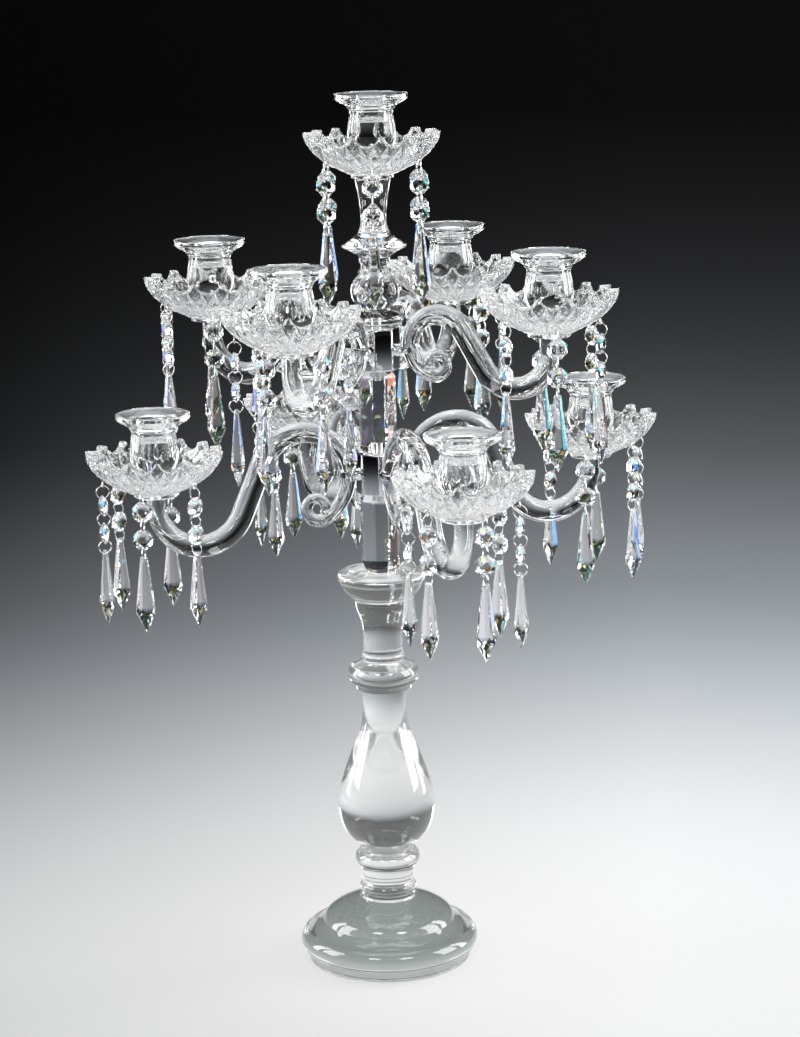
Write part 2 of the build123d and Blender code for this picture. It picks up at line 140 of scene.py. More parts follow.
def crystal(name, tint, shade, haze=0.012, wave=0.0003, absorb=None, ior=1.52, clear=1.0, film=0.0):
    """Clear glass: faint drift in its tint, fire-polished waves, and a little handling haze."""
    t = Tree(name)
    drift = t.noise(14.0, 2.0)
    smears = t.noise(70.0, 4.0, 0.6, stretch=(1.0, 1.0, 0.35))
    waves = t.noise(34.0, 1.0)
    mat = t.set(
        Base_Color=t.mix(t.ramp(drift, 0.35, 0.65, 0.0, 1.0), (*tint, 1), (*shade, 1)),
        Roughness=t.ramp(smears, 0.5, 0.8, 0.0, haze),
        IOR=ior,
        Transmission_Weight=clear,
        Thin_Film_Thickness=film,
        Normal=t.bump(waves, 0.25, wave),
    )
    if absorb:
        node = t.add("ShaderNodeVolumeAbsorption", Color=(*absorb[0], 1), Density=absorb[1])
        output = next(n for n in t.nodes if n.type == "OUTPUT_MATERIAL")
        t.links.new(node.outputs["Volume"], output.inputs["Volume"])
    return mat


def frosted(name):
    """Ground glass of the cuts: fine grain that scatters part of the light."""
    t = Tree(name)
    grain = t.noise(1600.0, 3.0, 0.6)
    patches = t.noise(220.0, 3.0, 0.6)
    return t.set(
        Base_Color=t.mix(t.ramp(patches, 0.3, 0.7, 0.0, 1.0), (0.99, 0.995, 1.0, 1), (0.9, 0.92, 0.92, 1)),
        Roughness=t.ramp(patches, 0.35, 0.75, 0.0, 0.12),
        IOR=1.56,
        Transmission_Weight=t.ramp(patches, 0.4, 0.8, 1.0, 0.88),
        Normal=t.bump(grain, 0.3, 0.0001),
    )


def plated(name, colour, dull, rough, scratch):
    """Polished metal: fine scratches along one direction and a soft clouding."""
    t = Tree(name)
    scratches = t.noise(900.0, 2.0, 0.6, stretch=scratch)
    cloud = t.noise(60.0, 3.0)
    wear = t.ramp(scratches, 0.45, 0.7, 0.0, 1.0)
    return t.set(
        Base_Color=t.mix(wear, (*colour, 1), (*dull, 1)),
        Metallic=1.0,
        Roughness=t.math("ADD", t.ramp(cloud, 0.3, 0.7, rough * 0.6, rough * 1.4),
                         t.ramp(scratches, 0.55, 0.8, 0.0, 0.1)),
        Normal=t.bump(scratches, 0.06, 0.00005),
    )


def felt(name):
    """Grey wool felt: matted fibres over soft lumps."""
    t = Tree(name)
    fibre = t.noise(1400.0, 5.0, 0.75, stretch=(1.0, 0.4, 1.0))
    cross = t.noise(1100.0, 5.0, 0.75, stretch=(0.4, 1.0, 1.0))
    both = t.math("MULTIPLY", fibre, cross)
    return t.set(
        Base_Color=t.mix(t.ramp(both, 0.15, 0.4, 0.0, 1.0), (0.09, 0.105, 0.10, 1), (0.17, 0.19, 0.183, 1)),
        Roughness=0.95,
        Sheen_Weight=0.4,
        Sheen_Roughness=0.5,
        Normal=t.bump(both, 0.9, 0.0004),
    )


CLEAR = (0.985, 0.992, 0.99)
CLEAR_SHADE = (0.965, 0.982, 0.978)
MATERIALS = {
    "foot": crystal("foot glass", (0.97, 0.985, 0.978), (0.95, 0.972, 0.962),
                    absorb=((0.72, 0.82, 0.77), 2.6), clear=0.97),
    "column": crystal("column glass", CLEAR, CLEAR_SHADE, wave=0.0002, clear=0.94),
    "stem": crystal("stem glass", CLEAR, CLEAR_SHADE),
    "arm": crystal("arm glass", CLEAR, CLEAR_SHADE, wave=0.0004),
    "cup": crystal("cup glass", CLEAR, CLEAR_SHADE),
    "cut": crystal("cut glass", (0.99, 0.995, 0.99), (0.975, 0.985, 0.98), haze=0.03, wave=0.00005, ior=1.56),
    "frost": frosted("cut groove glass"),
    "prism": crystal("prism glass", CLEAR, CLEAR_SHADE, wave=0.00005, ior=1.56, film=340.0),
    "pendant": crystal("pendant crystal", (0.99, 0.99, 0.995), (0.97, 0.98, 0.99),
                       haze=0.02, wave=0.00003, ior=1.6, film=420.0),
    "peg": crystal("clear peg", (0.96, 0.97, 0.97), (0.93, 0.95, 0.95), haze=0.1, ior=1.49),
    "washer": crystal("clear washer", (0.93, 0.95, 0.95), (0.9, 0.92, 0.92), haze=0.35, ior=1.43),
    "chrome": plated("chrome", (0.86, 0.87, 0.88), (0.7, 0.71, 0.72), 0.035, (1.0, 1.0, 0.04)),
    "steel": plated("steel", (0.6, 0.6, 0.59), (0.45, 0.45, 0.44), 0.22, (0.05, 1.0, 1.0)),
    "silver": plated("silver wire", (0.88, 0.87, 0.85), (0.7, 0.69, 0.66), 0.12, (1.0, 1.0, 0.2)),
    "felt": felt("felt"),
}


# ---- mesh helpers -------------------------------------------------------------------

def natural_spline(points, step=0.8):
    """Points about a step apart on the natural cubic spline through the ones given."""
    p = np.array(points, float)
    t = np.concatenate([[0.0], np.cumsum(np.linalg.norm(np.diff(p, axis=0), axis=1))])
    h = np.diff(t)
    count = len(p)
    system = np.eye(count)
    right = np.zeros_like(p)
    for i in range(1, count - 1):
        system[i, i - 1:i + 2] = h[i - 1], 2 * (h[i - 1] + h[i]), h[i]
        right[i] = 6 * ((p[i + 1] - p[i]) / h[i] - (p[i] - p[i - 1]) / h[i - 1])
    second = np.linalg.solve(system, right)
    out = []
    for u in np.linspace(0, t[-1], max(4, int(t[-1] / step)) + 1):
        i = min(int(np.searchsorted(t, u, side="right")) - 1, count - 2)
        a, b = (t[i + 1] - u) / h[i], (u - t[i]) / h[i]
        bend = ((a ** 3 - a) * second[i] + (b ** 3 - b) * second[i + 1]) * h[i] ** 2 / 6
        out.append(a * p[i] + b * p[i + 1] + bend)
    return [tuple(q) for q in out]


def arc(first, middle, last, step=0.7):
    """Points on the circular arc through three points."""
    (ax, ay), (bx, by), (cx, cy) = first, middle, last
    d = 2 * (ax * (by - cy) + bx * (cy - ay) + cx * (ay - by))
    a2, b2, c2 = ax * ax + ay * ay, bx * bx + by * by, cx * cx + cy * cy
    ox = (a2 * (by - cy) + b2 * (cy - ay) + c2 * (ay - by)) / d
    oy = (a2 * (cx - bx) + b2 * (ax - cx) + c2 * (bx - ax)) / d
    radius = math.hypot(ax - ox, ay - oy)
    start, via, end = (math.atan2(y - oy, x - ox) for x, y in (first, middle, last))
    sweep = (end - start) % (2 * math.pi)
    if (via - start) % (2 * math.pi) > sweep:
        sweep -= 2 * math.pi
    count = max(4, int(abs(sweep) * radius / step))
    angles = [start + sweep * k / count for k in range(count + 1)]
    return [(ox + radius * math.cos(a), oy + radius * math.sin(a)) for a in angles]


def soften(points, radius=0.45, limit=20.0):
    """The outline with each sharp corner turned into a small round."""
    p = [np.array(q, float) for i, q in enumerate(points) if i == 0 or math.dist(q, points[i - 1]) > 1e-6]
    out = [p[0]]
    for before, here, after in zip(p, p[1:], p[2:]):
        u, v = here - before, after - here
        lu, lv = np.linalg.norm(u), np.linalg.norm(v)
        turn = math.degrees(math.acos(max(-1.0, min(1.0, float(u @ v) / (lu * lv)))))
        if turn < limit:
            out.append(here)
            continue
        cut = min(radius, 0.45 * lu, 0.45 * lv)
        a, b = here - u / lu * cut, here + v / lv * cut
        for s in (0.0, 0.25, 0.5, 0.75, 1.0):
            out.append((1 - s) ** 2 * a + 2 * s * (1 - s) * here + s ** 2 * b)
    out.append(p[-1])
    return [tuple(q) for q in out]


def mesh_from(name, verts, faces, scale=MM):
    """Mesh in metres from points in millimetres, with its faces turned outwards."""
    mesh = bpy.data.meshes.new(name)
    mesh.from_pydata([tuple(float(c) * scale for c in v) for v in verts], [], faces)
    bm = bmesh.new()
    bm.from_mesh(mesh)
    bmesh.ops.remove_doubles(bm, verts=bm.verts, dist=1e-7)
    bmesh.ops.recalc_face_normals(bm, faces=bm.faces)
    bm.to_mesh(mesh)
    bm.free()
    return mesh


def smooth(mesh, angle=32.0):
    mesh.polygons.foreach_set("use_smooth", [True] * len(mesh.polygons))
    mesh.set_sharp_from_angle(angle=math.radians(angle))
    return mesh


def ring_faces(rows, columns, closed_loop=False):
    faces = []
    for i in range(rows if closed_loop else rows - 1):
        low, high = i * columns, ((i + 1) % rows) * columns
        for j in range(columns):
            k = (j + 1) % columns
            faces.append((low + j, low + k, high + k, high + j))
    return faces


def lathe(name, outline, segments=SEGMENTS):
    """Solid turned about Z from an outline in millimetres that starts and ends on the axis."""
    angles = np.arange(segments) * 2 * math.pi / segments
    rings = [p for p in outline if p[0] > 1e-6]
    verts = [(r * math.cos(a), r * math.sin(a), z) for r, z in rings for a in angles]
    faces = ring_faces(len(rings), segments)
    for ring, z in ((0, outline[0][1]), (len(rings) - 1, outline[-1][1])):
        verts.append((0, 0, z))
        faces += [(ring * segments + j, ring * segments + (j + 1) % segments, len(verts) - 1)
                  for j in range(segments)]
    return smooth(mesh_from(name, verts, faces))


def add(name, mesh, material, body, nodes=(), matrix=None, shadow=False):
    """Object for a mesh, on its body, standing for the CAD nodes named."""
    piece = bpy.data.objects.new(name, mesh)
    bpy.context.scene.collection.objects.link(piece)
    if matrix is not None:
        piece.matrix_world = matrix
    if material and not mesh.materials:
        mesh.materials.append(MATERIALS[material])
    piece.visible_shadow = shadow
    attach(piece, body)
    if nodes:
        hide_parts(*nodes)
    return piece


def keep(node, material, shadow=True):
    """Give a CAD node its finish and leave its shape alone."""
    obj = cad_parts[node]
    obj.data.materials.clear()
    obj.data.materials.append(MATERIALS[material])
    obj.visible_shadow = shadow


def low_mm(node):
    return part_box(node)[0].z / MM


def high_mm(node):
    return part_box(node)[1].z / MM


# ---- foot and column ----------------------------------------------------------------

JOIN = 0.06                  # air between two glass pieces that stand on each other

OUTLINES = {
    "foot": [(0, 1.2), (58.4, 1.2), (58.4, 0.4), (68.6, 0.4), (69.6, 1.4), (69.6, 8.6),
             *arc((72.2, 9.6), (76.0, 17.9), (70.5, 26.9)),
             *natural_spline([(70.5, 26.9), (62.5, 29.8), (56.6, 34.6)]),
             *natural_spline([(56.6, 34.6), (54.2, 39.4), (48.4, 44.5), (40.0, 49.0), (31.6, 52.4),
                              (24.6, 55.0)]),
             (23.0, 57.0), (0, 57.0)],
    "neck_spool": [(0, 57.0), (22.6, 57.0), (22.9, 59.8), *arc((22.9, 59.8), (24.6, 63.4), (22.9, 67.0)),
                   *natural_spline([(22.9, 67.0), (21.9, 75.0), (23.2, 82.5)]), (25.0, 84.0),
                   *arc((25.0, 84.0), (27.8, 89.8), (25.0, 95.4)), (19.4, 96.0), (0, 96.0)],
    "pear_baluster": [(0, 96.0),
                      *natural_spline([(18.8, 96.0), (26.7, 104.5), (37.4, 118.5), (41.4, 138.0),
                                       (37.4, 160.0), (28.2, 186.0), (20.6, 206.5), (18.4, 222.0),
                                       (19.0, 240.0)]), (0, 240.0)],
    "collar_ring": [(0, 240.0), (23.4, 240.0), (24.2, 243.6), (28.0, 246.1),
                    *arc((28.0, 246.1), (30.0, 253.2), (27.2, 260.4)), (21.6, 263.2), (16.9, 264.6),
                    *arc((16.9, 266.4), (18.2, 268.6), (16.9, 270.8)), (0, 270.8)],
    "bell_vase": [(0, 270.8), *natural_spline([(16.6, 270.8), (16.5, 282.0), (18.0, 298.2), (22.0, 310.0),
                                               (24.8, 319.4), (29.4, 322.6)]), (0, 322.6)],
    "dish_collar": [(0, 322.6), *natural_spline([(29.6, 322.6), (32.6, 326.8), (35.0, 333.0)]),
                    *arc((35.0, 333.0), (37.4, 337.6), (34.2, 341.6)), (31.0, 342.0), (0, 342.0)],
    "hub_cap": [(0, 548.0), (17.6, 548.0), (18.8, 551.0), *arc((22.0, 553.4), (23.0, 556.6), (21.8, 559.8)),
                (14.4, 561.2), (12.6, 562.4), (0, 562.4)],
    "ball_stem": [(0, 562.4), (12.4, 562.4), *natural_spline([(12.2, 565.4), (18.0, 570.6), (20.4, 578.7),
                                                              (18.2, 586.8), (12.9, 592.6)]),
                  (14.2, 594.4), (14.0, 596.2), (11.6, 597.4), (0, 597.4)],
    "top_stem": [(0, 597.4), (11.6, 597.4), (11.1, 600.4), (12.6, 602.4), (12.6, 604.6), (13.2, 607.4),
                 *natural_spline([(13.2, 607.4), (19.4, 611.4), (26.0, 614.6)]),
                 *arc((26.0, 614.6), (26.8, 616.0), (26.2, 617.2)),
                 *natural_spline([(26.2, 617.2), (18.4, 621.8), (13.0, 627.6), (10.6, 637.6), (11.6, 652.0),
                                  (15.0, 670.7)]), (0, 670.7)],
}
COLUMN_LOOK = {
    "foot": ("foot", "crystal_foot"), "neck_spool": ("column", "crystal_baluster"),
    "pear_baluster": ("column", "crystal_baluster"), "collar_ring": ("column", "crystal_baluster"),
    "bell_vase": ("column", "crystal_baluster"), "dish_collar": ("column", "crystal_dish"),
    "hub_cap": ("stem", "crystal_stem"), "ball_stem": ("stem", "crystal_stem"),
    "top_stem": ("stem", "crystal_stem"),
}


def fitted(outline, bottom, top):
    """The outline stretched a hair so that it stands between the two heights."""
    z0, z1 = min(z for _, z in outline), max(z for _, z in outline)
    return [(r, bottom + (z - z0) * (top - bottom) / (z1 - z0)) for r, z in outline]


def build_column():
    """Turned pieces of the column; the collar, vase and dish are one casting and look it."""
    cast = ("collar_ring", "bell_vase", "dish_collar")
    for node, outline in OUTLINES.items():
        if node in cast:
            continue
        material, slot = COLUMN_LOOK[node]
        shape = fitted(soften(outline), low_mm(node), high_mm(node) - JOIN)
        add("glass_" + node, lathe(node, shape), material, "stand", [node])
    skin = [p for node in cast for p in OUTLINES[node] if p[0] > 0]
    low, high = low_mm(cast[0]), high_mm(cast[-1])
    shape = fitted(soften([(0, low), *skin, (0, high)]), low, high - JOIN)
    add("glass_vase", lathe("vase", shape), "column", "stand", cast)
    low, high = low_mm("foot_pad"), high_mm("foot_pad") + 0.05
    pad = [(0, low), (57.6, low), (58.0, low + 0.3), (58.0, high - 0.3), (57.7, high), (0, high)]
    add("felt_pad", lathe("pad", pad), "felt", "stand", ["foot_pad"], shadow=True)


def octagon(radius, z, turn=22.5):
    """Corners of an octagon, in millimetres."""
    return [(radius * math.cos(math.radians(turn + 45 * k)),
             radius * math.sin(math.radians(turn + 45 * k)), z)
            for k in range(8)]


def stacked(name, rings, chamfer, steps=1):
    """Closed solid through rings of corners, with fine chamfers on its edges."""
    sides = len(rings[0])
    verts = [v for ring in rings for v in ring]
    faces = ring_faces(len(rings), sides)
    faces += [tuple(range(sides)), tuple(range(len(verts) - sides, len(verts)))]
    mesh = mesh_from(name, verts, faces)
    bm = bmesh.new()
    bm.from_mesh(mesh)
    edges = [e for e in bm.edges if e.calc_face_angle(0) > math.radians(8)]
    bmesh.ops.bevel(bm, geom=edges, offset=chamfer * MM, segments=steps, profile=0.5, affect="EDGES")
    bm.to_mesh(mesh)
    bm.free()
    return smooth(mesh, 25) if steps > 1 else mesh


def build_prisms():
    for node, radius in (("lower_prism", 16.7), ("upper_prism", 16.0)):
        low, high = low_mm(node) + 0.02, high_mm(node) - 0.02
        turn = 22.5 - 11.6
        end = radius - 3.8
        rings = [octagon(end, low, turn), octagon(radius, low + 6.2, turn),
                 octagon(radius, high - 6.2, turn), octagon(end, high, turn)]
        add("cut_" + node, stacked(node, rings, 0.35), "prism", "stand", [node])


def build_hubs():
    for node in ("lower_hub", "upper_hub"):
        low, high = low_mm(node), high_mm(node)
        mesh = stacked(node, [octagon(19.5, low), octagon(19.5, high)], 1.1, 4)
        add("chrome_" + node, mesh, "chrome", "stand", [node], shadow=True)
    keep("column_studs", "steel")
    keep("arm_pins", "chrome")


build_column()
build_prisms()
build_hubs()


# ---- arms ---------------------------------------------------------------------------

ARM_SHAPES = {
    "upper": {"reach": 154.1, "arch": (56.6, 535.6), "arch_r": 25.5, "u_r": 31.0, "u_bottom": 503.5,
              "scroll": ((25.5, 258), (9.5, 345), (7.5, 560))},
    "lower": {"reach": 193.0, "arch": (66.6, 426.3), "arch_r": 39.0, "u_r": 38.0, "u_bottom": 378.0,
              "scroll": ((39.0, 195), (43.0, 237), (11.5, 345), (8.5, 560))},
}
TAPER = ((0.0, 4.2), (0.1, 5.2), (0.2, 6.2), (0.38, 8.0), (0.5, 9.3), (0.85, 9.3), (1.0, 7.5))
AROUND_ARM = 48


def circle_run(centre, radius, start, end, step=1.2):
    count = max(3, int(math.radians(abs(end - start)) * radius / step))
    angles = [math.radians(start + (end - start) * k / count) for k in range(count + 1)]
    return [(centre[0] + radius * math.cos(a), centre[1] + radius * math.sin(a)) for a in angles]


def arm_line(shape, seat):
    """Centre line of an arm in its radial plane, from the curl's end to the light."""
    u_centre = (shape["reach"] - shape["u_r"], shape["u_bottom"] + shape["u_r"])
    across, drop = u_centre[0] - shape["arch"][0], u_centre[1] - shape["arch"][1]
    lean = math.degrees(math.acos((shape["arch_r"] + shape["u_r"]) / math.hypot(across, drop)))
    leave = math.degrees(math.atan2(drop, across)) + lean
    runs = []
    centre, radius, start = shape["arch"], shape["arch_r"], leave
    for next_r, end in shape["scroll"]:
        shift = radius - next_r if runs else 0.0
        turn = math.radians(start)
        centre = (centre[0] + shift * math.cos(turn), centre[1] + shift * math.sin(turn))
        runs.append(circle_run(centre, next_r, end, start))
        radius, start = next_r, end
    line = [p for run in reversed(runs) for p in run]
    line += circle_run(u_centre, shape["u_r"], leave + 180, 360)
    line.append((shape["reach"], seat))
    p = np.array([q for i, q in enumerate(line) if i == 0 or math.dist(q, line[i - 1]) > 1e-4])
    along = np.concatenate([[0.0], np.cumsum(np.linalg.norm(np.diff(p, axis=0), axis=1))])
    even = np.linspace(0, along[-1], int(along[-1] / 1.6) + 1)
    return np.stack([np.interp(even, along, p[:, 0]), np.interp(even, along, p[:, 1])], axis=1)


def arm_mesh(name, shape, seat):
    """Tapered rod along the centre line, with a rounded curl end and a flat seat."""
    line = arm_line(shape, seat)
    tangent = np.gradient(line, axis=0)
    tangent /= np.linalg.norm(tangent, axis=1)[:, None]
    shares, radii = np.array(TAPER).T
    width = np.interp(np.linspace(0, 1, len(line)), shares, radii)
    width = np.convolve(np.pad(width, 6, mode="edge"), np.ones(13) / 13, mode="valid")
    rings = []
    for k in range(6):
        turn = math.radians(15 * k)
        back = line[0] - tangent[0] * width[0] * math.cos(turn)
        rings.append((back, tangent[0], width[0] * math.sin(turn)))
    rings = rings[1:] + [(p, t, w) for p, t, w in zip(line, tangent, width)]
    end = rings[-1]
    rings[-1] = (end[0] - end[1] * 0.5, end[1], end[2])
    rings.append((end[0], end[1], end[2] - 0.5))
    angles = np.arange(AROUND_ARM) * 2 * math.pi / AROUND_ARM
    verts = []
    for centre, direction, radius in rings:
        normal = (-direction[1], direction[0])
        for a in angles:
            out, side = radius * math.cos(a), radius * math.sin(a)
            verts.append((centre[0] + normal[0] * out, side, centre[1] + normal[1] * out))
    faces = ring_faces(len(rings), AROUND_ARM)
    faces += [tuple(range(AROUND_ARM)), tuple(range(len(verts) - AROUND_ARM, len(verts)))]
    return smooth(mesh_from(name, verts, faces), 40)


def light_centre(name):
    """Axis of one light and the height of its rim, in metres."""
    low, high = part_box("candle_cup_" + name)
    return Vector(((low.x + high.x) / 2, (low.y + high.y) / 2, high.z))


LIGHTS = ["top"] + [f"{tier}_{k}" for tier in ("upper", "lower") for k in (1, 2, 3, 4)]


def build_arms():
    for tier, shape in ARM_SHAPES.items():
        seat = light_centre(f"{tier}_1").z / MM - 69.3
        mesh = arm_mesh(f"{tier}_arm", shape, seat)
        for k in (1, 2, 3, 4):
            centre = light_centre(f"{tier}_{k}")
            turn = Matrix.Rotation(math.atan2(centre.y, centre.x), 4, "Z")
            add(f"glass_{tier}_arm_{k}", mesh, "arm", "stand", [f"{tier}_arm_{k}"], turn)


build_arms()


# ---- candle cups --------------------------------------------------------------------

CUP = soften([
    (0, -59.7), (13.0, -59.7),
    *natural_spline([(13.0, -58.6), (12.2, -54.6), (15.0, -46.6), (19.3, -38.4), (19.9, -32.0), (18.4, -20.4),
                     (17.7, -16.0)]),
    (18.0, -13.6), (20.0, -11.8), (20.4, -10.0), (23.0, -8.6),
    *natural_spline([(23.0, -8.6), (26.6, -6.8), (29.4, -4.8)]),
    (30.3, -3.6), (30.3, -0.8), (29.8, 0.0), (28.4, 0.0),
    *natural_spline([(28.4, 0.0), (20.0, -2.6), (14.4, -3.3)]), (11.25, -3.3), (11.25, -22.6), (10.6, -23.3),
    (0, -23.3),
])


def build_cups():
    mesh = lathe("cup", CUP, 96)
    for name in LIGHTS:
        place = Matrix.Translation(light_centre(name))
        add(f"glass_cup_{name}", mesh, "cup", "stand", [f"candle_cup_{name}"], place)


build_cups()


# ---- drip bowls ---------------------------------------------------------------------

SCALLOPS = 14
BOWL_COLUMNS = SCALLOPS * 36
OUTER_ROWS = 74
INNER_ROWS = 22
TIPS, FLOOR, BASE = -31.0, -60.6, -68.4
NOTCH_R, NOTCH_DEPTH = 10.97, 7.8


def groove(distance, half_width, depth):
    """Depth of a V-cut at a distance from its line."""
    return np.clip(1 - np.abs(distance) / half_width, 0, None) * depth


def nearest(value):
    return value - np.round(value)


def cut_depth(angle, height):
    """Depth in mm of the cuts outside the bowl: angle in scallops, height 0 at the base and 1 at the tips."""
    radius = 18 + 36 * height
    pitch = radius * 2 * math.pi / SCALLOPS
    depth = np.zeros_like(angle)
    for sign in (-1, 1):
        for shift in (0.0, 0.5):
            line = nearest(angle + shift + sign * (height - 0.62) * 0.95) * pitch / 1.6
            depth = np.maximum(depth, groove(line, 1.7, 1.4) * (height < 0.86))
    low = np.clip((0.62 - height) / 0.05, 0, 1)
    for sign in (-1, 1):
        hatch = nearest(angle * 4 + sign * height * 7.5) * pitch / 4 / 1.3
        depth = np.maximum(depth, groove(hatch, 1.1, 0.85) * low)
    across = nearest(angle - 0.5) * pitch
    up = (height - 0.60) * 52
    spread = np.degrees(np.arctan2(across, np.maximum(up, 1e-3)))
    reach = np.hypot(across, up)
    inside = (up > 0.6) & (reach < 17) & (np.abs(spread) < 60)
    for ray in (-46, -23, 0, 23, 46):
        away = reach * np.sin(np.radians(spread - ray))
        depth = np.maximum(depth, groove(away, 0.7 + reach * 0.04, 1.0) * inside)
    return depth


def bowl_mesh():
    """Scalloped bowl: cut outside, thick rim with concave notches, smooth inside and a bore."""
    outer = np.array(natural_spline([(17.4, BASE + 2.0), (31.8, TIPS - 28.8), (41.8, TIPS - 22.6),
                                     (51.2, TIPS - 12.8), (55.4, TIPS - 5.0), (56.3, TIPS)], 0.1))
    inner = np.array(natural_spline([(47.3, TIPS), (46.6, TIPS - 5.0), (43.6, TIPS - 11.8),
                                     (37.0, TIPS - 19.4), (28.0, TIPS - 25.3), (16.0, FLOOR)], 0.1))[::-1]
    columns = np.arange(BOWL_COLUMNS)
    turn = columns / BOWL_COLUMNS * SCALLOPS
    angle = columns * 2 * math.pi / BOWL_COLUMNS
    off = np.radians(nearest(turn - 0.5) * 360 / SCALLOPS)
    notch_z = TIPS - NOTCH_DEPTH + NOTCH_R

    def cut_point(curve, phi):
        """Arc length and point where the notch cuts a curve that climbs to the tips."""
        lateral = curve[:, 0] * math.sin(phi)
        roof = np.where(np.abs(lateral) < NOTCH_R,
                        notch_z - np.sqrt(np.maximum(NOTCH_R ** 2 - lateral ** 2, 0)), 1e3)
        over = np.nonzero(curve[:, 1] > np.minimum(roof, TIPS + 1e-6))[0]
        return over[0] if len(over) else len(curve) - 1

    rows_outer = np.zeros((OUTER_ROWS, BOWL_COLUMNS, 3))
    ground = np.zeros((OUTER_ROWS, BOWL_COLUMNS))
    rows_inner = np.zeros((INNER_ROWS, BOWL_COLUMNS, 3))
    full = len(outer) - 1
    for j in columns:
        stop = cut_point(outer, off[j])
        at = np.linspace(0, stop, OUTER_ROWS)
        steps = np.arange(full + 1)
        r, z = np.interp(at, steps, outer[:, 0]), np.interp(at, steps, outer[:, 1])
        slope = np.gradient(outer, axis=0)
        nr, nz = np.interp(at, steps, slope[:, 1]), -np.interp(at, steps, slope[:, 0])
        size = np.hypot(nr, nz)
        share = at / full
        fade = np.clip((stop - at) * 0.1 / 0.8, 0, 1) * np.clip(at * 0.1 / 0.8, 0, 1)
        depth = cut_depth(np.full(OUTER_ROWS, turn[j]), share) * fade
        ground[:, j] = depth
        r, z = r - nr / size * depth, z - nz / size * depth
        rows_outer[:, j] = np.stack([r * math.cos(angle[j]), r * math.sin(angle[j]), z], axis=1)
        stop = cut_point(inner, off[j])
        at = np.linspace(stop, 0, INNER_ROWS)
        r = np.interp(at, np.arange(len(inner)), inner[:, 0])
        z = np.interp(at, np.arange(len(inner)), inner[:, 1])
        rows_inner[:, j] = np.stack([r * math.cos(angle[j]), r * math.sin(angle[j]), z], axis=1)

    def ring(radius, z):
        level = np.full(BOWL_COLUMNS, z)
        return np.stack([radius * np.cos(angle), radius * np.sin(angle), level], axis=1)[None]

    def between(one, two, share):
        return (one + (two - one) * share)[None]

    lip_out, lip_in = rows_outer[-1], rows_inner[0]
    drop_out, drop_in = rows_outer[-2], rows_inner[1]
    softened = [
        between(lip_out, drop_out, 0.35), between(between(lip_out, drop_out, 0.1)[0], lip_in, 0.04),
        between(lip_out, lip_in, 0.12), between(lip_out, lip_in, 0.5), between(lip_out, lip_in, 0.88),
        between(between(lip_in, drop_in, 0.06)[0], lip_out, 0.03), between(lip_in, drop_in, 0.25),
    ]
    rows = np.concatenate([
        ring(3.08, BASE), ring(17.0, BASE), ring(17.4, BASE + 0.4),
        rows_outer[:-1], *softened, rows_inner[1:],
        ring(3.08, FLOOR),
    ])
    mesh = mesh_from("bowl", rows.reshape(-1, 3), ring_faces(len(rows), BOWL_COLUMNS, closed_loop=True))
    mesh.materials.append(MATERIALS["cut"])
    mesh.materials.append(MATERIALS["frost"])
    first, tops = 3, 3 + OUTER_ROWS - 1
    for face in mesh.polygons:
        row, column = divmod(min(face.vertices), BOWL_COLUMNS)
        if first <= row < tops - 1:
            face.material_index = int(ground[row - first:row - first + 2, column].mean() > 0.3)
        elif tops <= row < tops + 5:
            face.material_index = int(abs(nearest(turn[column])) < 0.1)
    return smooth(mesh, 24)


def peg_mesh():
    """Clear peg seen in the bore of a bowl, between the arm's end and the cup."""
    low, high = BASE - 0.9, -59.7 - JOIN
    return lathe("peg", soften([(0, low + JOIN), (3.0, low + JOIN), (3.0, high), (0, high)], 0.2), 32)


def build_bowls():
    mesh, peg = bowl_mesh(), peg_mesh()
    for name in LIGHTS:
        centre = light_centre(name)
        turn = -5.0 if name == "top" else math.degrees(math.atan2(centre.y, centre.x))
        place = Matrix.Translation(centre) @ Matrix.Rotation(math.radians(turn), 4, "Z")
        add(f"cut_bowl_{name}", mesh, "cut", "bowl_" + name, [f"drip_bowl_{name}"], place)
        nodes = ["cup_studs"] if name == "top" else []
        add(f"peg_{name}", peg, "peg", "stand", nodes, Matrix.Translation(centre))
    keep("bowl_washers", "washer", shadow=False)


build_bowls()


# ---- chains -------------------------------------------------------------------------

CHAIN_R = 44.0
WIRE_R = 0.45
LINK_R = 5.3
CHAIN_TWISTS = (-40, 40, 0, -40, 40, 0)      # turn of the top bowl's chains, in degrees
HOOK_Z = -57.0               # wire that the first link hangs from, below the rim of the cup


def torus(radius, tube, around=36, across=10):
    """Wire ring in the XZ plane."""
    verts, faces = [], []
    for i in range(around):
        a = 2 * math.pi * i / around
        for j in range(across):
            b = 2 * math.pi * j / across
            reach = radius + tube * math.cos(b)
            verts.append((reach * math.cos(a), tube * math.sin(b), reach * math.sin(a)))
    for i in range(around):
        for j in range(across):
            k, m = (i + 1) % around, (j + 1) % across
            faces.append((i * across + j, k * across + j, k * across + m, i * across + m))
    return verts, faces


def hull(name, points):
    """Cut stone: the convex hull of its facet corners."""
    bm = bmesh.new()
    verts = [bm.verts.new(Vector(p) * MM) for p in points]
    bmesh.ops.convex_hull(bm, input=verts)
    loose = [v for v in bm.verts if not v.link_faces]
    bmesh.ops.delete(bm, geom=loose, context="VERTS")
    bmesh.ops.dissolve_limit(bm, angle_limit=math.radians(1.5), verts=bm.verts, edges=bm.edges)
    bmesh.ops.recalc_face_normals(bm, faces=bm.faces)
    mesh = bpy.data.meshes.new(name)
    bm.to_mesh(mesh)
    bm.free()
    return mesh


